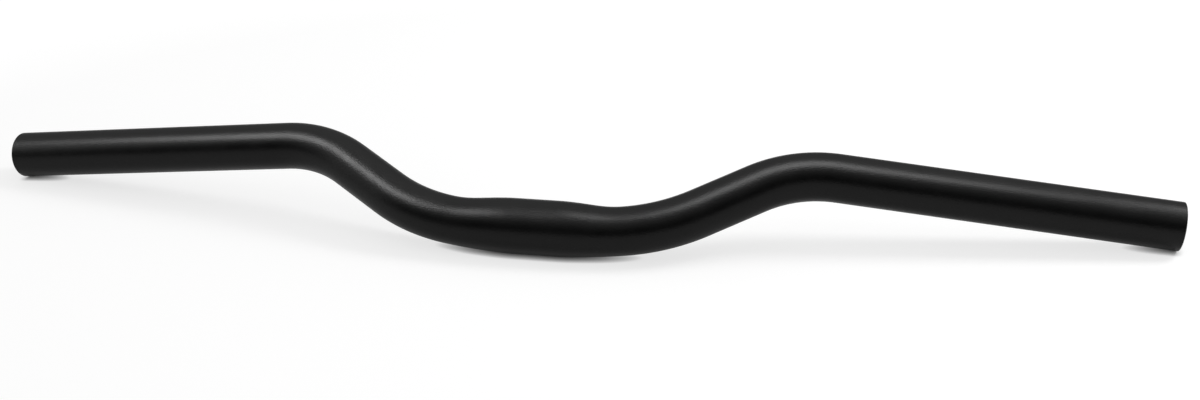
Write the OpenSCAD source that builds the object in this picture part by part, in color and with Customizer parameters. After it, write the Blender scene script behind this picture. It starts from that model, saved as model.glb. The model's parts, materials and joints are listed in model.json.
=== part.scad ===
// A riser handlebar: one length of aluminium tube, thick in the middle, narrowed and bent on
// both sides. It lies on a level surface on three points: the underside of the middle and the
// two tips. The origin is the centre of the middle, +X runs along it, and +Z is up.

/* [Middle] */
// Diameter of the middle, which a stem clamps
clamp_d = 25.4; // [21:0.1:32]
// Length of the middle that keeps the full diameter
clamp_len = 20; // [12:1:30]
// Length over which each side narrows to the tube
taper_len = 30; // [20:1:40]

/* [Tube] */
// Outer diameter of the tube, which the grips slide on
tube_d = 22.2; // [18:0.1:27]
// Wall of the middle
clamp_wall = 2.8; // [1.5:0.1:4]
// Wall of the tube from the tapers out to the tips
tube_wall = 2.2; // [1.2:0.1:3.6]

/* [Bends] */
// Straight length across the middle, between the two inner bends
centre_len = 54; // [44:1:100]
// Radius of the tube's centre line in each inner bend
inner_bend_r = 84; // [60:1:120]
// Angle of each inner bend
inner_bend_angle = 33.5; // [25:0.5:42]
// Straight length that rises between the two bends of a side
riser_len = 28; // [15:1:60]
// Radius of the tube's centre line in each outer bend
outer_bend_r = 65; // [45:1:100]
// Angle of each outer bend
outer_bend_angle = 33.5; // [25:0.5:42]
// Turn of each outer bend out of the inner bend's plane, which sweeps the grips back
sweep_turn = 16.5; // [8:0.5:24]

/* [Grips] */
// Straight length of each end, from the outer bend to the tip
grip_len = 153; // [90:1:220]
// Chamfer on the outer and inner edges of each tip
tip_chamfer = 0.5; // [0.2:0.1:1]

/* [Hidden] */

// How much a bent or tapered stretch is drawn under its true radius, so that each straight
// stretch closes over its end
relief = 0.02;
// How far each straight stretch runs on into its neighbours
lap = 0.5;
// Steps of the turned part of a taper, and steps and sides of its bent part
turned_steps = 12;
bent_steps = 5;
bent_sides = 36;
// How far the bore's tool passes the tips
bore_over = 1;
// Steps along each side in the search for the lowest point
level_steps = 40;
bar_colour = [0.13, 0.13, 0.13];

clamp_r = clamp_d / 2;
tube_r = tube_d / 2;
clamp_bore_r = clamp_r - clamp_wall;
tube_bore_r = tube_r - tube_wall;

// Distances from the centre, measured along the tube
taper_start = clamp_len / 2;
taper_end = taper_start + taper_len;
inner_start = centre_len / 2;
inner_end = inner_start + arc_length(inner_bend_r, inner_bend_angle);
turned_end = min(taper_end, inner_start);

function arc_length(radius, angle) = PI * radius * angle / 180;

// The work frame travels along the tube: its Z points ahead, and a bend turns Z towards its X
function feed(length) = [[1, 0, 0, 0], [0, 1, 0, 0], [0, 0, 1, length], [0, 0, 0, 1]];
function turn(angle) = [
    [cos(angle), -sin(angle), 0, 0],
    [sin(angle), cos(angle), 0, 0],
    [0, 0, 1, 0],
    [0, 0, 0, 1]
];
function bend(radius, angle) = [
    [cos(angle), 0, sin(angle), radius * (1 - cos(angle))],
    [0, 1, 0, 0],
    [-sin(angle), 0, cos(angle), radius * sin(angle)],
    [0, 0, 0, 1]
];

// The frame at a distance from the centre, for the stretches that a taper can reach
function bent_by(distance) = min(inner_bend_angle, 180 * (distance - inner_start) / (PI * inner_bend_r));
function frame_at(distance) =
    distance <= inner_start
    ? feed(distance)
    : feed(inner_start) * bend(inner_bend_r, bent_by(distance)) * feed(max(0, distance - inner_end));

// A taper eases out of the full diameter and into the tube: 0 at its start and 1 at its end
function share(distance) = min(1, max(0, (distance - taper_start) / taper_len));
function eased(u) = u * u * (3 - 2 * u);
function taper_r(distance, middle_r, end_r) = middle_r + (end_r - middle_r) * eased(share(distance));

// The frame at a tip, up to where its chamfer starts
outer_turn = 180 + sweep_turn;
tip = feed(inner_start) * bend(inner_bend_r, inner_bend_angle) * feed(riser_len)
    * turn(outer_turn) * bend(outer_bend_r, outer_bend_angle) * feed(grip_len - tip_chamfer);

// The bar is rolled about the middle's axis until it lies at rest. Rolled by an angle, a point
// x, y of the work frame is at a height of x sin + y cos.
function height_of(frame, roll) = frame[0][3] * sin(roll) + frame[1][3] * cos(roll);
function slope_of(frame, roll) = frame[0][2] * sin(roll) + frame[1][2] * cos(roll);
function underside(frame, radius, roll) =
    height_of(frame, roll) - radius * sqrt(1 - pow(slope_of(frame, roll), 2));

// The level that the bar stands on: its lowest point between the outer ends of the inner bends
function level(roll) = min([
    for (i = [0 : level_steps])
        let (distance = inner_end * i / level_steps)
            underside(frame_at(distance), taper_r(distance, clamp_r, tube_r), roll)
]);

// The roll that brings the tips down to that level, from a few tries that close in on it
tip_reach = norm([tip[0][3], tip[1][3]]);
tip_phase = atan2(tip[1][3], tip[0][3]);
function roll_for(height) = asin(height / tip_reach) - tip_phase;
function settled(roll, tries) =
    tries == 0
    ? roll
    : settled(roll_for(height_of(tip, roll) - underside(tip, tube_r, roll) + level(roll)), tries - 1);
rest_roll = settled(roll_for(0), 8);

// Places children at the centre, looking along +X, rolled to the bar's resting attitude
module at_centre() {
    rotate([rest_roll, 0, 0])
        rotate([90, 0, 90])
            children();
}

// Places children past a bend
module past_bend(radius, angle) {
    translate([radius, 0, 0])
        rotate([0, angle, 0])
            translate([-radius, 0, 0])
                children();
}

// A straight stretch between two distances, run on a little into its neighbours
module straight_rod(radius, from, to) {
    translate([0, 0, from - lap])
        cylinder(h = to - from + 2 * lap, r = radius, $fn = 96);
}

// A bent stretch from the work frame onwards
module bent_rod(radius, bend_r, angle) {
    translate([bend_r, 0, 0])
        rotate([90, 0, 180])
            rotate_extrude(angle = angle, $fn = 360)
                translate([bend_r, 0])
                    circle(r = radius - relief, $fn = 72);
}

// The part of a taper that lies in the straight middle
module turned_taper(middle_r, end_r) {
    span = turned_end - taper_start;
    edge = [
        for (i = [0 : turned_steps])
            let (distance = taper_start + span * i / turned_steps)
                [taper_r(distance, middle_r, end_r) - relief, distance]
    ];
    rotate_extrude($fn = 96)
        polygon(concat([[0, taper_start]], edge, [[0, turned_end]]));
}

// The part of a taper that runs on into the bend, as rings along the bent centre line
module bent_taper(middle_r, end_r) {
    from = turned_end - lap;
    span = taper_end - from;
    rings = [
        for (i = [0 : bent_steps])
            let (distance = from + span * i / bent_steps)
                ring(frame_at(distance), taper_r(distance, middle_r, end_r) - 2 * relief)
    ];
    loft(rings);
}

function ring(frame, radius) = [
    for (k = [0 : bent_sides - 1])
        let (a = 360 * k / bent_sides, p = frame * [radius * cos(a), radius * sin(a), 0, 1])
            [p[0], p[1], p[2]]
];

// Joins rings of equal numbers of points into one closed solid
module loft(rings) {
    n = len(rings[0]);
    last = len(rings) - 1;
    sides = [
        for (i = [0 : last - 1], k = [0 : n - 1])
            let (a = i * n + k, b = i * n + (k + 1) % n)
                each [[a, a + n, b], [b, a + n, b + n]]
    ];
    near_cap = [for (k = [0 : n - 1]) k];
    far_cap = [for (k = [n - 1 : -1 : 0]) last * n + k];
    points = [for (r = rings) each r];
    polyhedron(points = points, faces = concat([near_cap], sides, [far_cap]));
}

// The straight end of one side, chamfered at the tip; edge is the change of radius there
module grip_rod(radius, edge, over) {
    rotate_extrude($fn = 96)
        polygon([
            [0, -lap],
            [radius, -lap],
            [radius, grip_len - tip_chamfer],
            [radius + edge, grip_len],
            [radius + edge, grip_len + over],
            [0, grip_len + over]
        ]);
}

// One side of the tube's route, as a solid rod, from the taper to the tip
module side_rod(middle_r, end_r, edge, over) {
    bend_from = max(inner_start, taper_end - lap);
    done = bent_by(bend_from);
    turned_taper(middle_r, end_r);
    if (taper_end > inner_start)
        bent_taper(middle_r, end_r);
    else
        straight_rod(end_r, taper_end, inner_start);
    translate([0, 0, inner_start]) {
        past_bend(inner_bend_r, done)
            bent_rod(end_r, inner_bend_r, inner_bend_angle - done);
        past_bend(inner_bend_r, inner_bend_angle) {
            straight_rod(end_r, 0, riser_len);
            translate([0, 0, riser_len])
                rotate([0, 0, outer_turn]) {
                    bent_rod(end_r, outer_bend_r, outer_bend_angle);
                    past_bend(outer_bend_r, outer_bend_angle)
                        grip_rod(end_r, edge, over);
                }
        }
    }
}

// The whole route as a solid rod: the middle and both sides, which mirror each other
module rod(middle_r, end_r, edge, over) {
    at_centre()
        straight_rod(middle_r, -taper_start, taper_start);
    for (side = [0, 1])
        mirror([side, 0, 0])
            at_centre()
                side_rod(middle_r, end_r, edge, over);
}

// The tube, drawn as an outer rod less the rod of its bore
module handlebar() {
    color(bar_colour)
        difference() {
            rod(clamp_r, tube_r, -tip_chamfer, 0);
            rod(clamp_bore_r, tube_bore_r, tip_chamfer, bore_over);
        }
}

handlebar();
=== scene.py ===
# %% [markdown]
# # A riser handlebar
#
# A bicycle handlebar is one length of aluminium tube. The factory starts with a straight tube,
# squeezes it so that it is thick in the middle and thin at the grips, bends it in four places,
# blasts it with fine beads and dyes it black. This lesson makes it in much the same order: first
# the straight tube, then a bender made of Geometry Nodes, then the finishes, and last the floor
# and the light.
#
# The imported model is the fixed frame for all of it. Every size that the frame knows is read
# from it, so the tube that is drawn here lies exactly where the engineering model lies.

# %% Load the frame
import json
import math

import bpy
from mathutils import Euler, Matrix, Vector


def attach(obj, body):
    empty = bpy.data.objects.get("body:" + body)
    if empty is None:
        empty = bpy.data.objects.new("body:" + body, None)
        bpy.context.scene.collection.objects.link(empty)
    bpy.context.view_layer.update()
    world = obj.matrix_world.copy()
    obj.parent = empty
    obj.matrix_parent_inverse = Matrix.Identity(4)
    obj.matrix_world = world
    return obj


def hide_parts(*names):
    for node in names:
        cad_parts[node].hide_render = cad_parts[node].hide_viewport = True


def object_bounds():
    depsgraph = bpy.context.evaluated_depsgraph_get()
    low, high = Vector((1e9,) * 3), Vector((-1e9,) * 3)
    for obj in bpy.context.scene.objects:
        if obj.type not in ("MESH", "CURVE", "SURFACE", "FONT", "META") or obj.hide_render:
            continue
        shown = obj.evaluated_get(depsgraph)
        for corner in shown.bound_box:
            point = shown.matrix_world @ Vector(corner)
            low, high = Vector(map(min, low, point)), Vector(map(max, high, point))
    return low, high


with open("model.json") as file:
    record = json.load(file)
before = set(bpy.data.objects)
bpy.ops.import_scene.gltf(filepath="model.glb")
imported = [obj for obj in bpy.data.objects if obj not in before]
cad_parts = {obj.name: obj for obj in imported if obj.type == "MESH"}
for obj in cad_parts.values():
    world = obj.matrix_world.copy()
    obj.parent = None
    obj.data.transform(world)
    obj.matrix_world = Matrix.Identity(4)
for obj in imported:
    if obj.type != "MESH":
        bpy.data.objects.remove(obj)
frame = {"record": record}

MM = 0.001
cad_box = [list(corner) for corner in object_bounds()]
spans = [high - low for low, high in zip(*cad_box)]
print("frame box, mm:", [round(span / MM, 2) for span in spans])

# %% [markdown]
# ## The camera
#
# The picture is three times as wide as it is high, and it looks down on the bar from the front,
# a little to the right of its middle. The lens is a short telephoto, so the far grip is nearly
# as thick as the near one. The camera comes first because every later choice is judged by it.
# Its place could be found by eye, but a fit to the outline of the bar is far closer, so these
# values come from such a fit: a place in metres, three turns in degrees, and a lens and a sensor
# in millimetres.

# %% Place the camera
CAMERA_PLACE = (0.2139, -0.7477, 0.3388)
CAMERA_TURN = (67.206, 1.646, 13.092)
LENS = 56.187
SENSOR_WIDTH = 36.0


def put_in_scene(name, data):
    """A new object that holds some data, such as a camera, a mesh or a lamp."""
    thing = bpy.data.objects.new(name, data)
    bpy.context.scene.collection.objects.link(thing)
    return thing


def place_camera():
    lens = bpy.data.cameras.new("camera")
    lens.sensor_width = SENSOR_WIDTH
    lens.lens = LENS
    camera = put_in_scene("camera", lens)
    camera.location = CAMERA_PLACE
    camera.rotation_euler = Euler([math.radians(turn) for turn in CAMERA_TURN])
    bpy.context.scene.camera = camera
    return camera


camera = place_camera()
print("camera stands", round(camera.location.length, 3), "m from the middle of the bar")

# %% [markdown]
# ## The sizes
#
# The frame's record lists the places where other parts go on: the stem clamps the middle, the
# grips slide on the ends, and plugs go into the bore. Each of them states its radius and its
# axis, so the tube's sizes come from there. Only the bends have to be named again, with the
# sizes that a bending machine is set to: a radius, and how far it turns.

# %% Read the sizes of the tube
mounts = {mount["name"]: mount for mount in frame["record"]["mounts"]}


def mount_size(name, size):
    """A size of a mount, in metres."""
    return mounts[name]["dims"][size] * MM


middle_radius = mount_size("stem_clamp", "r_mm")
tube_radius = mount_size("grip_right", "r_mm")
bore_radius = mount_size("bar_end_right", "r_mm")
grip_length = mount_size("grip_right", "length_mm")
grip_middle = Vector(mounts["grip_right"]["pos_m"])
grip_axis = Vector(mounts["grip_right"]["axis"]).normalized()

MIDDLE_WALL = 2.8 * MM
TIP_EDGE = 0.5 * MM
middle_bore_radius = middle_radius - MIDDLE_WALL
tube_wall = tube_radius - bore_radius
print("tube, mm:", round(2 * tube_radius / MM, 2), "across, wall", round(tube_wall / MM, 2))

# %% Set the bends
INNER_BEND_RADIUS = 84 * MM
OUTER_BEND_RADIUS = 65 * MM
BEND_ANGLE = math.radians(33.5)
MIDDLE_LENGTH = 54 * MM
RISER_LENGTH = 28 * MM

# a bend of radius r between two straights starts r tan(a / 2) before the corner that they make
inner_setback = INNER_BEND_RADIUS * math.tan(BEND_ANGLE / 2)
outer_setback = OUTER_BEND_RADIUS * math.tan(BEND_ANGLE / 2)
# the mount's wall ends where the tip's rounded edge starts, so its middle lies half an edge back
tip = grip_middle + grip_axis * (grip_length / 2 + TIP_EDGE / 2)
outer_corner = tip - grip_axis * (grip_length + outer_setback)
inner_corner = Vector((MIDDLE_LENGTH / 2 + inner_setback, 0, 0))
blank_length = (
    MIDDLE_LENGTH
    + 2 * (INNER_BEND_RADIUS + OUTER_BEND_RADIUS) * BEND_ANGLE
    + 2 * (RISER_LENGTH + grip_length)
)
corner_gap = (outer_corner - inner_corner).length
riser_gap = corner_gap - inner_setback - outer_setback - RISER_LENGTH
print("straight tube, mm:", round(blank_length / MM, 2))
print("the riser is off by, mm:", round(riser_gap / MM, 4))

# %% [markdown]
# ## The straight tube
#
# A butted tube keeps its full diameter for a short way in the middle, where the stem's bolts
# squeeze it, and narrows on both sides to the size of the grips. The bore narrows with it. In
# Blender such a tube could be a cylinder with its ends scaled, or a curve with a round bevel.
# Here it is spun from a closed outline, as on a lathe: out along the skin, round the edge of
# the tip, and back along the bore. That gives a real wall, real edges at the tips, and a row of
# points every two millimetres for the bender to place. A guard row beside each rounded edge
# keeps the smooth shading of the edge from spreading over its neighbours.

# %% Draw the outline of the wall
FULL_LENGTH = 20 * MM
TAPER_LENGTH = 30 * MM
SKIN_STEP = 2 * MM
BORE_STEP = 4 * MM
EDGE_STEPS = 6
EDGE_GUARD = 0.12 * MM
QUARTER = math.pi / 2


def taper(x, middle, end):
    """The radius at a distance x from the centre: full, then easing into the tube."""
    share = min(1, max(0, (abs(x) - FULL_LENGTH / 2) / TAPER_LENGTH))
    return middle + (end - middle) * share * share * (3 - 2 * share)


def stations(step):
    """Even steps along the straight tube, between the two rounded edges."""
    reach = blank_length / 2 - TIP_EDGE
    count = round(2 * reach / step)
    even = [-reach + 2 * reach * i / count for i in range(1, count)]
    return [-reach, -reach + EDGE_GUARD, *even, reach - EDGE_GUARD, reach]


def rounded_edge(centre, start):
    """Points round a quarter circle, clockwise from the angle start, for the edge of a tip."""
    points = []
    for i in range(1, EDGE_STEPS):
        angle = start - QUARTER * i / EDGE_STEPS
        x = centre[0] + TIP_EDGE * math.cos(angle)
        radius = centre[1] + TIP_EDGE * math.sin(angle)
        points.append((x, radius))
    return points


def tip_face(x, first, last):
    """The flat face of a tip from one radius to another, with its two guard rows."""
    guard = math.copysign(EDGE_GUARD, last - first)
    return [(x, first), (x, first + guard), (x, last - guard), (x, last)]


def wall_outline():
    """The wall's closed outline as (x, radius): along the skin to the right, then back inside."""
    end = blank_length / 2
    reach = end - TIP_EDGE
    outside, inside = tube_radius - TIP_EDGE, bore_radius + TIP_EDGE
    skin = [(x, taper(x, middle_radius, tube_radius)) for x in stations(SKIN_STEP)]
    bore = [(x, taper(x, middle_bore_radius, bore_radius)) for x in stations(BORE_STEP)]
    return [
        *skin,
        *rounded_edge((reach, outside), QUARTER),
        *tip_face(end, outside, inside),
        *rounded_edge((reach, inside), 0),
        *reversed(bore),
        *rounded_edge((-reach, inside), -QUARTER),
        *tip_face(-end, inside, outside),
        *rounded_edge((-reach, outside), -2 * QUARTER),
    ]


outline = wall_outline()
print("outline of the wall:", len(outline), "points")

# %% [markdown]
# The outline is now turned about the X axis. Each row of points is joined to the next, and the
# last to the first, so the mesh is one closed skin with no seam. Every face also keeps a number
# that says which surface it belongs to, because the three surfaces get different finishes: the
# blasted skin, the turned rim of each tip, and the drawn bore.

# %% Spin the outline into a tube
SIDES = 120
SKIN, RIM, BORE = 0, 1, 2


def surface_of(start, end):
    """The surface that the wall belongs to between two neighbouring points of its outline."""
    if min(abs(start[0]), abs(end[0])) > blank_length / 2 - TIP_EDGE - EDGE_GUARD / 2:
        return RIM
    return SKIN if start[1] > (tube_radius + bore_radius) / 2 else BORE


def spin_tube(name, outline):
    """A closed tube round the X axis, with a "surface" number on every face."""
    turns = [2 * math.pi * k / SIDES for k in range(SIDES)]
    points = [
        (x, radius * math.cos(turn), radius * math.sin(turn))
        for x, radius in outline
        for turn in turns
    ]
    faces, surfaces = [], []
    for i, start in enumerate(outline):
        after = (i + 1) % len(outline)
        row, next_row = i * SIDES, after * SIDES
        for k in range(SIDES):
            beside = (k + 1) % SIDES
            faces.append((row + k, row + beside, next_row + beside, next_row + k))
            surfaces.append(surface_of(start, outline[after]))
    mesh = bpy.data.meshes.new(name)
    mesh.from_pydata(points, [], faces)
    mesh.polygons.foreach_set("use_smooth", [True] * len(faces))
    mesh.attributes.new("surface", "INT", "FACE").data.foreach_set("value", surfaces)
    return put_in_scene(name, mesh)


blank = spin_tube("straight_tube", outline)
print("straight tube:", len(blank.data.polygons), "faces")

# %% [markdown]
# ## Helpers for node trees
#
# The bender and the finishes are all trees of nodes, and a tree can be drawn by hand in the
# editor or written in a script. A script is chosen here because it can be read from top to
# bottom and run again. Short helpers keep it readable: one starts a tree with named inputs and
# outputs, one adds a node and joins what feeds it, and the others are short names for the nodes
# that come up most.

# %% Write the helpers
def new_tree(name, kind, inputs, outputs):
    """A tree with named inputs and outputs, and the two nodes at its ends."""
    tree = bpy.data.node_groups.new(name, kind)
    for label, socket_type in inputs.items():
        tree.interface.new_socket(label, in_out="INPUT", socket_type=socket_type)
    for label, socket_type in outputs.items():
        tree.interface.new_socket(label, in_out="OUTPUT", socket_type=socket_type)
    return tree, tree.nodes.new("NodeGroupInput"), tree.nodes.new("NodeGroupOutput")


def add(tree, kind, feeds, **settings):
    """A node in a tree; each of its named inputs is fed a plain value or a node's output."""
    node = tree.nodes.new(kind)
    for setting, value in settings.items():
        setattr(node, setting, value)
    for label, value in feeds.items():
        if isinstance(value, bpy.types.NodeSocket):
            tree.links.new(value, node.inputs[label])
        else:
            node.inputs[label].default_value = value
    return node


def math_node(tree, operation, *values):
    return add(tree, "ShaderNodeMath", dict(enumerate(values)), operation=operation).outputs[0]


def vector_math(tree, operation, *values):
    feeds = dict(enumerate(values))
    return add(tree, "ShaderNodeVectorMath", feeds, operation=operation).outputs[0]


def scaled(tree, vector, factor):
    feeds = {0: vector, "Scale": factor}
    return add(tree, "ShaderNodeVectorMath", feeds, operation="SCALE").outputs[0]


def length_of(tree, vector):
    node = add(tree, "ShaderNodeVectorMath", {0: vector}, operation="LENGTH")
    return node.outputs["Value"]


def map_range(tree, value, start, end, low, high):
    """A value that goes from low to high while another goes from start to end."""
    feeds = {"Value": value, "From Min": start, "From Max": end, "To Min": low, "To Max": high}
    return add(tree, "ShaderNodeMapRange", feeds).outputs[0]


print("helpers: new_tree, add, math_node, vector_math, scaled, length_of, map_range")

# %% [markdown]
# ## The bender
#
# A bending machine needs to know only the middle line of the finished tube. For this bar it is
# short to say: six points joined by straight lines, with the four corners rounded to two radii.
# A Curve modifier could follow such a line, but it can roll the tube where the line leaves one
# plane. So Geometry Nodes do the bending. They draw the line first: three corners are given,
# and the other three are their mirror images.

# %% Start the bender
bender, given, bent = new_tree(
    "tube bender",
    "GeometryNodeTree",
    {
        "Straight tube": "NodeSocketGeometry",
        "Inner corner": "NodeSocketVector",
        "Outer corner": "NodeSocketVector",
        "Tip": "NodeSocketVector",
        "Inner bend radius": "NodeSocketFloat",
        "Outer bend radius": "NodeSocketFloat",
        "Tube length": "NodeSocketFloat",
        "Skin finish": "NodeSocketMaterial",
        "Rim finish": "NodeSocketMaterial",
        "Bore finish": "NodeSocketMaterial",
    },
    {"Bent tube": "NodeSocketGeometry"},
)
bender.is_modifier = True
inputs = [item.name for item in bender.interface.items_tree if item.in_out == "INPUT"]
print("bender's inputs:", inputs)

# %% Draw the middle line in nodes
BEND_STEPS = 48
MIRRORED = (-1, 1, 1)


def pick_by_number(tree, kind, number, choices):
    """The one of the choices that has this number."""
    node = add(tree, "GeometryNodeIndexSwitch", {}, data_type=kind)
    while len(node.index_switch_items) < len(choices):
        node.index_switch_items.new()
    tree.links.new(number, node.inputs[0])
    for i, choice in enumerate(choices, 1):
        if isinstance(choice, bpy.types.NodeSocket):
            tree.links.new(choice, node.inputs[i])
        else:
            node.inputs[i].default_value = choice
    return node.outputs[0]


def draw_middle_line(tree, given):
    """The line through the corners, from the left tip to the right one, its bends rounded."""
    number = tree.nodes.new("GeometryNodeInputIndex").outputs[0]
    right = [given.outputs[name] for name in ("Inner corner", "Outer corner", "Tip")]
    left = [vector_math(tree, "MULTIPLY", corner, MIRRORED) for corner in reversed(right)]
    corners = left + right
    points = add(tree, "GeometryNodeMeshLine", {"Count": len(corners)}).outputs[0]
    places = pick_by_number(tree, "VECTOR", number, corners)
    placed = add(tree, "GeometryNodeSetPosition", {"Geometry": points, "Position": places})
    line = add(tree, "GeometryNodeMeshToCurve", {"Mesh": placed.outputs[0]}).outputs[0]
    inner, outer = given.outputs["Inner bend radius"], given.outputs["Outer bend radius"]
    radius = pick_by_number(tree, "FLOAT", number, [0, outer, inner, inner, outer, 0])
    rounded = {"Curve": line, "Count": BEND_STEPS, "Radius": radius}
    return add(tree, "GeometryNodeFilletCurve", rounded, mode="POLY").outputs[0]


middle_line = draw_middle_line(bender, given)
print("bender so far:", len(bender.nodes), "nodes")

# %% [markdown]
# The bending itself is a lookup. A point's x says how far along the tube it is, so the line is
# sampled at that share of its length. The point then moves to the line's place there, and its y
# and z are laid out square to the line's direction. Because the square is always built from the
# upright Z axis, the tube is never twisted. The point's straight place is stored first, so that
# a finish can still follow the tube after it is bent.

# %% Set every point square to the line
UPRIGHT = (0, 0, 1)


def bend_points(tree, given, line):
    """The straight tube with its points laid out round the line."""
    straight = tree.nodes.new("GeometryNodeInputPosition").outputs[0]
    parts = add(tree, "ShaderNodeSeparateXYZ", {"Vector": straight}).outputs
    share = math_node(tree, "DIVIDE", parts["X"], given.outputs["Tube length"])
    factor = math_node(tree, "ADD", share, 0.5)
    sampled = {"Curves": line, "Factor": factor}
    spot = add(tree, "GeometryNodeSampleCurve", sampled, mode="FACTOR").outputs
    ahead = vector_math(tree, "NORMALIZE", spot["Tangent"])
    side = vector_math(tree, "NORMALIZE", vector_math(tree, "CROSS_PRODUCT", UPRIGHT, ahead))
    up = vector_math(tree, "CROSS_PRODUCT", ahead, side)
    across, upwards = scaled(tree, side, parts["Y"]), scaled(tree, up, parts["Z"])
    offset = vector_math(tree, "ADD", across, upwards)
    place = vector_math(tree, "ADD", spot["Position"], offset)
    kept = {"Geometry": given.outputs["Straight tube"], "Name": "straight place", "Value": straight}
    setting = {"data_type": "FLOAT_VECTOR", "domain": "POINT"}
    marked = add(tree, "GeometryNodeStoreNamedAttribute", kept, **setting).outputs[0]
    moved = {"Geometry": marked, "Position": place}
    return add(tree, "GeometryNodeSetPosition", moved).outputs[0]


shape = bend_points(bender, given, middle_line)
shape = add(bender, "GeometryNodeRealizeInstances", {"Geometry": shape}).outputs[0]
print("bender so far:", len(bender.nodes), "nodes")

# %% [markdown]
# The last nodes of the bender put the finishes on. The skin's goes on everywhere, and the rims
# and the bore then take theirs by the number that each face has kept.

# %% Put the finishes on
def put_finish_on(tree, geometry, surface, finish):
    """Sets a material on the faces that carry a surface's number."""
    stored = add(tree, "GeometryNodeInputNamedAttribute", {"Name": "surface"}, data_type="INT")
    same = {"data_type": "INT", "operation": "EQUAL"}
    chosen = add(tree, "FunctionNodeCompare", {2: stored.outputs[0], 3: surface}, **same)
    feeds = {"Geometry": geometry, "Selection": chosen.outputs[0], "Material": finish}
    return add(tree, "GeometryNodeSetMaterial", feeds).outputs[0]


everywhere = {"Geometry": shape, "Material": given.outputs["Skin finish"]}
shape = add(bender, "GeometryNodeSetMaterial", everywhere).outputs[0]
for surface, finish in ((RIM, "Rim finish"), (BORE, "Bore finish")):
    shape = put_finish_on(bender, shape, surface, given.outputs[finish])
bender.links.new(shape, bent.inputs["Bent tube"])
print("bender:", len(bender.nodes), "nodes")

# %% [markdown]
# ## The blasted grain
#
# Before it is dyed, the bar is blasted with fine glass beads. Each bead leaves a dent of a
# little over half a millimetre, and together they turn the drawn tube matt, with a faint sparkle
# where the light catches it. Image textures could hold such dents, but noise has no seam and no
# limit of size. The skin and the rims share it, so it is a node group with the size of a dent as
# an input. It puts out the height of the dents, and a wider cloudiness that comes from the dye.

# %% Build the grain as a group
DENT_SMOOTHNESS = 0.4
GRIT_DETAIL = 2
CLOUD_DETAIL = 3


def blasted_grain():
    number = "NodeSocketFloat"
    tree, given, result = new_tree(
        "blasted grain",
        "ShaderNodeTree",
        {"Place": "NodeSocketVector", "Dent size": number, "Cloud size": number},
        {"Height": number, "Cloud": number},
    )
    fine, wide = (
        {
            "Vector": given.outputs["Place"],
            "Scale": math_node(tree, "DIVIDE", 1, given.outputs[size]),
        }
        for size in ("Dent size", "Cloud size")
    )
    smooth = {**fine, "Smoothness": DENT_SMOOTHNESS}
    dents = add(tree, "ShaderNodeTexVoronoi", smooth, feature="SMOOTH_F1")
    grit = add(tree, "ShaderNodeTexNoise", {**fine, "Detail": GRIT_DETAIL})
    cloud = add(tree, "ShaderNodeTexNoise", {**wide, "Detail": CLOUD_DETAIL})
    height = math_node(tree, "ADD", dents.outputs["Distance"], grit.outputs["Fac"])
    tree.links.new(height, result.inputs["Height"])
    tree.links.new(cloud.outputs["Fac"], result.inputs["Cloud"])
    return tree


grain_group = blasted_grain()
print("grain group:", len(grain_group.nodes), "nodes")

# %% [markdown]
# ## The black skin
#
# Anodising grows a thin, clear and very hard layer on the aluminium, and black dye fills it. No
# light comes back from inside, so all that is seen is what the layer's own surface reflects: a
# wide, dim streak under each lamp, and the pale room. That is a nearly black base with no metal
# in it, a satin surface, and a weak reflection, because the dents shade each other. The base and
# the roughness waver a little with the cloudiness of the dye.

# %% Write what every finish needs
# a noise seldom leaves this middle range
NOISE_LOW, NOISE_HIGH = 0.3, 0.7


def empty_tree(owner):
    """The node tree of a new material or world, with nothing in it."""
    owner.use_nodes = True
    owner.node_tree.nodes.clear()
    return owner.node_tree


def new_finish(name):
    """A material with a Principled shader, its tree and the shader."""
    finish = bpy.data.materials.new(name)
    tree = empty_tree(finish)
    shader = tree.nodes.new("ShaderNodeBsdfPrincipled")
    output = tree.nodes.new("ShaderNodeOutputMaterial")
    tree.links.new(shader.outputs[0], output.inputs["Surface"])
    return finish, tree, shader


def add_grain(tree, dent_size, cloud_size):
    """The blasted grain's height and cloudiness on the finished piece."""
    grain = add(tree, "ShaderNodeGroup", {}, node_tree=grain_group)
    place = tree.nodes.new("ShaderNodeTexCoord").outputs["Object"]
    tree.links.new(place, grain.inputs["Place"])
    grain.inputs["Dent size"].default_value = dent_size
    grain.inputs["Cloud size"].default_value = cloud_size
    return grain.outputs["Height"], grain.outputs["Cloud"]


def dress(tree, shader, look, shade_noise, rough_noise, height):
    """Gives a shader the values of a look, which its noises vary and its height roughens."""
    shade = map_range(tree, shade_noise, NOISE_LOW, NOISE_HIGH, *look["shades"])
    grey = add(tree, "ShaderNodeCombineColor", {"Red": shade, "Green": shade, "Blue": shade})
    rough = map_range(tree, rough_noise, NOISE_LOW, NOISE_HIGH, *look["roughness"])
    relief = {"Height": height, "Strength": look["strength"], "Distance": look["depth"]}
    bump = add(tree, "ShaderNodeBump", relief)
    tree.links.new(grey.outputs[0], shader.inputs["Base Color"])
    tree.links.new(rough, shader.inputs["Roughness"])
    tree.links.new(bump.outputs[0], shader.inputs["Normal"])
    shader.inputs["Specular IOR Level"].default_value = look["reflection"]


print("helpers: empty_tree, new_finish, add_grain, dress")

# %% Mix the skin's finish
SKIN_GRAIN = (0.6 * MM, 9 * MM)
SKIN_LOOK = {
    "shades": (0.0010, 0.0020),
    "roughness": (0.29, 0.33),
    "strength": 0.75,
    "depth": 0.06 * MM,
    "reflection": 0.30,
}


def black_skin():
    finish, tree, shader = new_finish("black anodised skin")
    height, cloud = add_grain(tree, *SKIN_GRAIN)
    dress(tree, shader, SKIN_LOOK, cloud, cloud, height)
    return finish


skin_finish = black_skin()
print("skin:", len(skin_finish.node_tree.nodes), "nodes")

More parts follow.
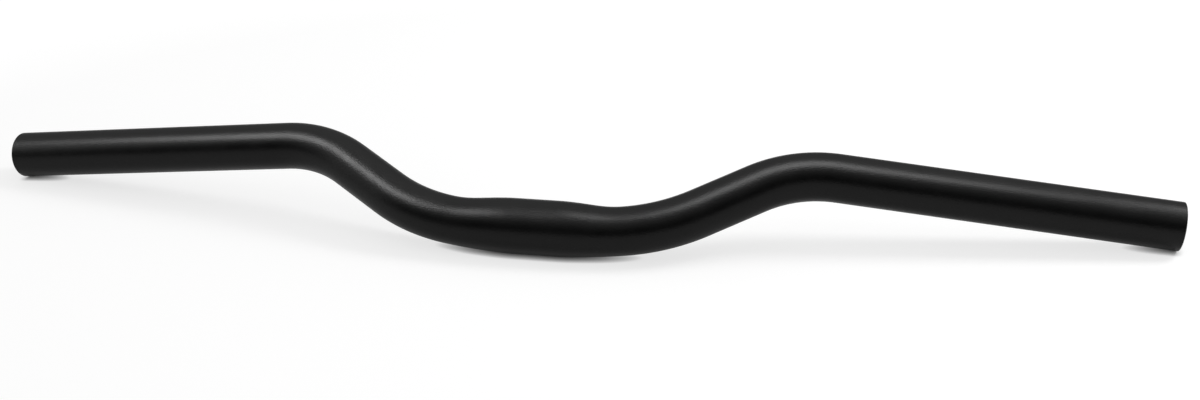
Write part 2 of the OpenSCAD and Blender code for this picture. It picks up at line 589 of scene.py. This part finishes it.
# %% [markdown]
# ## The rims and the bore
#
# The ends are cut on a lathe before the blasting, so very faint rings remain on each rim. The
# bore is never blasted: it keeps the long lines of the plug that the tube was drawn over. Both
# are dyed with the rest. The rings and the lines have to follow the tube round its bends, so
# they are drawn on the straight place that the bender stored on every point.

# %% Mix the finish of the rims
RIM_GRAIN = (0.4 * MM, 5 * MM)
RINGS_PER_METRE = 9000
RING_DETAIL = 1
GRAIN_OVER_RINGS = 0.5
RIM_LOOK = {
    "shades": (0.0030, 0.0048),
    "roughness": (0.34, 0.42),
    "strength": 0.5,
    "depth": 0.02 * MM,
    "reflection": 0.32,
}


def straight_place(tree):
    return add(tree, "ShaderNodeAttribute", {}, attribute_name="straight place").outputs["Vector"]


def turned_rim():
    finish, tree, shader = new_finish("black turned rim")
    parts = add(tree, "ShaderNodeSeparateXYZ", {"Vector": straight_place(tree)}).outputs
    flat = add(tree, "ShaderNodeCombineXYZ", {"Y": parts["Y"], "Z": parts["Z"]}).outputs[0]
    turned = {"W": length_of(tree, flat), "Scale": RINGS_PER_METRE, "Detail": RING_DETAIL}
    rings = add(tree, "ShaderNodeTexNoise", turned, noise_dimensions="1D").outputs["Fac"]
    height, cloud = add_grain(tree, *RIM_GRAIN)
    grain = math_node(tree, "MULTIPLY", height, GRAIN_OVER_RINGS)
    dress(tree, shader, RIM_LOOK, cloud, rings, math_node(tree, "ADD", rings, grain))
    return finish


rim_finish = turned_rim()
print("rims:", len(rim_finish.node_tree.nodes), "nodes")

# %% Mix the finish of the bore
LINES_ALONG, LINES_ACROSS = 8, 1400
LINE_DETAIL = 3
BORE_LOOK = {
    "shades": (0.0035, 0.0065),
    "roughness": (0.30, 0.40),
    "strength": 0.6,
    "depth": 0.04 * MM,
    "reflection": 0.36,
}


def drawn_bore():
    finish, tree, shader = new_finish("black drawn bore")
    stretch = {"Vector": straight_place(tree), "Scale": (LINES_ALONG, LINES_ACROSS, LINES_ACROSS)}
    stretched = add(tree, "ShaderNodeMapping", stretch).outputs[0]
    drawn = {"Vector": stretched, "Scale": 1, "Detail": LINE_DETAIL}
    lines = add(tree, "ShaderNodeTexNoise", drawn).outputs["Fac"]
    dress(tree, shader, BORE_LOOK, lines, lines, lines)
    return finish


bore_finish = drawn_bore()
print("bore:", len(bore_finish.node_tree.nodes), "nodes")

# %% [markdown]
# ## Bend the tube
#
# Now the straight tube goes through the bender. The modifier's inputs are found by their names
# and set by their identifiers, and the evaluated result is taken as a plain mesh. The straight
# tube and its modifier are then thrown away, so what is left is one clean mesh at the origin.

# %% Put the straight tube through the bender
def bend_tube(tube, name, settings):
    """The tube as a new, plain mesh, bent by the bender with these settings."""
    modifier = tube.modifiers.new("tube bender", "NODES")
    modifier.node_group = bender
    for item in bender.interface.items_tree:
        if item.name in settings:
            modifier[item.identifier] = settings[item.name]
    bpy.context.view_layer.update()
    evaluated = tube.evaluated_get(bpy.context.evaluated_depsgraph_get())
    mesh = bpy.data.meshes.new_from_object(evaluated)
    mesh.name = name
    bpy.data.objects.remove(tube)
    return put_in_scene(name, mesh)


bent_tube = bend_tube(
    blank,
    "bent_tube",
    {
        "Inner corner": inner_corner,
        "Outer corner": outer_corner,
        "Tip": tip,
        "Inner bend radius": INNER_BEND_RADIUS,
        "Outer bend radius": OUTER_BEND_RADIUS,
        "Tube length": blank_length,
        "Skin finish": skin_finish,
        "Rim finish": rim_finish,
        "Bore finish": bore_finish,
    },
)
reach_by_axis = zip(*[vertex.co for vertex in bent_tube.data.vertices])
ends = [(round(min(axis) / MM, 3), round(max(axis) / MM, 3)) for axis in reach_by_axis]
print("bent tube, mm:", ends)
print("finishes on it:", [material.name for material in bent_tube.data.materials])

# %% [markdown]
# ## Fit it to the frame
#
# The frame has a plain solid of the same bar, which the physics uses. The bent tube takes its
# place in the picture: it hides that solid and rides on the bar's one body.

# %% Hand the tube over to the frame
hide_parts("handlebar")
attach(bent_tube, "root")
print("bent_tube stands for the node handlebar")

# %% [markdown]
# ## The floor
#
# The bar lies on a wide pale sheet, so pale that it runs into the background with no edge. The
# sheet is a plain square just under the bar, in a grey that takes the bar's shadow. What a
# camera sees of it gets a light of its own on top, which brings the open floor up to white and
# leaves the shadow faint, as in the picture. A reflection sees a weaker share of that light,
# because the bar's underside mirrors the sheet as it was, before the picture bleached it. The
# glow also dies where the bar all but touches the sheet: that is a painted contact shadow, a
# thin dark line that sets the bar down on it. Far from the bar the glow takes over, so the
# lamps' own fall-off is never seen.

# %% Mix the floor's finish
FLOOR_GREY = 0.38
FLOOR_GLOW = 0.70
MIRRORED_SHARE = 0.33
# how far from the bar the painted contact shadow reaches
CONTACT_SHADE_REACH = 3 * MM
# how far from the bar the glow starts to grow, and where it is full, in metres
GLOW_START, GLOW_FULL = 0.38, 1.1


def ray_kinds(tree):
    """Two masks: 1 for a ray from the camera, and 1 for a mirrored or refracted one."""
    path = tree.nodes.new("ShaderNodeLightPath").outputs
    mirrored = math_node(tree, "MAXIMUM", path["Is Glossy Ray"], path["Is Transmission Ray"])
    return path["Is Camera Ray"], mirrored


def pale_floor():
    finish = bpy.data.materials.new("pale floor")
    tree = empty_tree(finish)
    distance = length_of(tree, tree.nodes.new("ShaderNodeTexCoord").outputs["Object"])
    glow = map_range(tree, distance, GLOW_START, GLOW_FULL, FLOOR_GLOW, 1.0)
    camera_ray, mirrored_ray = ray_kinds(tree)
    weaker = math_node(tree, "MULTIPLY", mirrored_ray, MIRRORED_SHARE)
    seen = math_node(tree, "MULTIPLY", glow, math_node(tree, "MAXIMUM", camera_ray, weaker))
    # the glow dies where the bar nearly touches the sheet: a painted contact shadow, a thin dark
    # line
    painted_contact_shade = add(tree, "ShaderNodeAmbientOcclusion", {"Distance": CONTACT_SHADE_REACH}).outputs["AO"]
    strength = math_node(tree, "MULTIPLY", seen, painted_contact_shade)
    light = add(tree, "ShaderNodeEmission", {"Strength": strength})
    grey = add(tree, "ShaderNodeBsdfDiffuse", {"Color": (FLOOR_GREY, FLOOR_GREY, FLOOR_GREY, 1)})
    both = add(tree, "ShaderNodeAddShader", {0: grey.outputs[0], 1: light.outputs[0]})
    output = tree.nodes.new("ShaderNodeOutputMaterial")
    tree.links.new(both.outputs[0], output.inputs["Surface"])
    return finish


floor_finish = pale_floor()
print("floor:", len(floor_finish.node_tree.nodes), "nodes")

# %% Lay the floor
FLOOR_REACH = 12.0
FLOOR_GAP = 0.02 * MM


def lay_floor(height, finish):
    """A square sheet at a height, wide enough to reach past every view."""
    square = ((-1, -1), (1, -1), (1, 1), (-1, 1))
    corners = [(x * FLOOR_REACH, y * FLOOR_REACH, height) for x, y in square]
    mesh = bpy.data.meshes.new("floor")
    mesh.from_pydata(corners, [], [(0, 1, 2, 3)])
    mesh.materials.append(finish)
    return put_in_scene("floor", mesh)


bar_underside = cad_box[0][2]
floor = lay_floor(bar_underside - FLOOR_GAP, floor_finish)
print("floor at z =", round(bar_underside / MM, 2), "mm")

# %% [markdown]
# ## The light
#
# Four soft boxes stand round the bar at the same distance: one overhead, one high to the left
# and in front, one high to the right and behind, and a wide, weak one low on the left. Each
# draws its own streak along the tube, and between the streaks the bar goes darker. The streaks
# wander as the tube bends, and that is what tells the eye that it is bent. Lamps with a size
# are used, because a point or a sun would draw a thin, hard streak. The picture has one shadow
# only, which falls to the front and the left. So the box on the right is the one that lights
# the floor, and the others draw their streaks and no more. None is seen directly.

# %% Hang the lamps
LAMP_DISTANCE = 1.3
# for each lamp: its turn round the bar and its height in degrees, its size in metres, its power
# in watts, and whether it lights the floor
SOFT_BOXES = {
    "soft_box_overhead": (-12, 81, 0.55, 6.8, False),
    "soft_box_left": (-164, 52, 0.45, 7.0, False),
    "soft_box_right": (25, 41, 0.42, 7.2, True),
    "low_soft_box": (-170, 19, 0.75, 1.4, False),
}


def hang_soft_box(name, turn, height, size, power, lights_floor):
    """A square lamp that looks at the middle of the bar."""
    turn, height = math.radians(turn), math.radians(height)
    x, y = math.cos(turn) * math.cos(height), math.sin(turn) * math.cos(height)
    outwards = Vector((x, y, math.sin(height)))
    box = bpy.data.lights.new(name, "AREA")
    box.size = size
    box.energy = power
    lamp = put_in_scene(name, box)
    lamp.location = outwards * LAMP_DISTANCE
    lamp.rotation_euler = outwards.to_track_quat("Z", "Y").to_euler()
    lamp.visible_camera = False
    lamp.visible_diffuse = lights_floor


for name, settings in SOFT_BOXES.items():
    hang_soft_box(name, *settings)
print("lamps:", list(SOFT_BOXES))

# %% [markdown]
# ## The room
#
# The world stands for the rest of the room. Light that only fills the shadows is plain and
# weak. What the camera sees is white. What the bar mirrors is pale overhead, where the white
# ceiling is, dim behind, and dark on the viewer's side, because a studio's walls are kept dark.
# That fall is what shapes the lower half of the tube.

# %% Paint the room
ROOM_FILL = 0.55
ROOM_IN_FRONT = 0.03
ROOM_BEHIND = 0.21
ROOM_OVERHEAD = 0.45
# the share of a direction's length that points away from the viewer, where the walls are at
# their darkest and palest, and the share that points up, where the ceiling starts and is full
WALLS_DARKEST, WALLS_PALEST = -0.6, 0.3
CEILING_START, CEILING_FULL = 0.4, 0.9


def plain_light(tree, strength):
    feeds = {"Color": (1, 1, 1, 1), "Strength": strength}
    return add(tree, "ShaderNodeBackground", feeds).outputs[0]


def paint_room():
    world = bpy.data.worlds.new("studio")
    tree = empty_tree(world)
    facing = tree.nodes.new("ShaderNodeTexCoord").outputs["Generated"]
    direction = add(tree, "ShaderNodeSeparateXYZ", {"Vector": facing}).outputs
    away, up = direction["Y"], direction["Z"]
    walls = map_range(tree, away, WALLS_DARKEST, WALLS_PALEST, ROOM_IN_FRONT, ROOM_BEHIND)
    ceiling = map_range(tree, up, CEILING_START, CEILING_FULL, 0.0, ROOM_OVERHEAD)
    fill = plain_light(tree, ROOM_FILL)
    room = plain_light(tree, math_node(tree, "ADD", walls, ceiling))
    white = plain_light(tree, 1.0)
    camera_ray, mirrored_ray = ray_kinds(tree)
    unseen = add(tree, "ShaderNodeMixShader", {0: mirrored_ray, 1: fill, 2: room}).outputs[0]
    whole = add(tree, "ShaderNodeMixShader", {0: camera_ray, 1: unseen, 2: white}).outputs[0]
    output = tree.nodes.new("ShaderNodeOutputWorld")
    tree.links.new(whole, output.inputs["Surface"])
    return world


scene = bpy.context.scene
scene.world = paint_room()
scene.view_settings.view_transform = "Standard"
print("room painted, fill", ROOM_FILL)

# %% [markdown]
# ## Finish
#
# The picture must not change the part's size. The frame's box was kept at the start, and the
# bent tube's reach along each axis was printed when it was bent.

# %% Finish
print("finished")
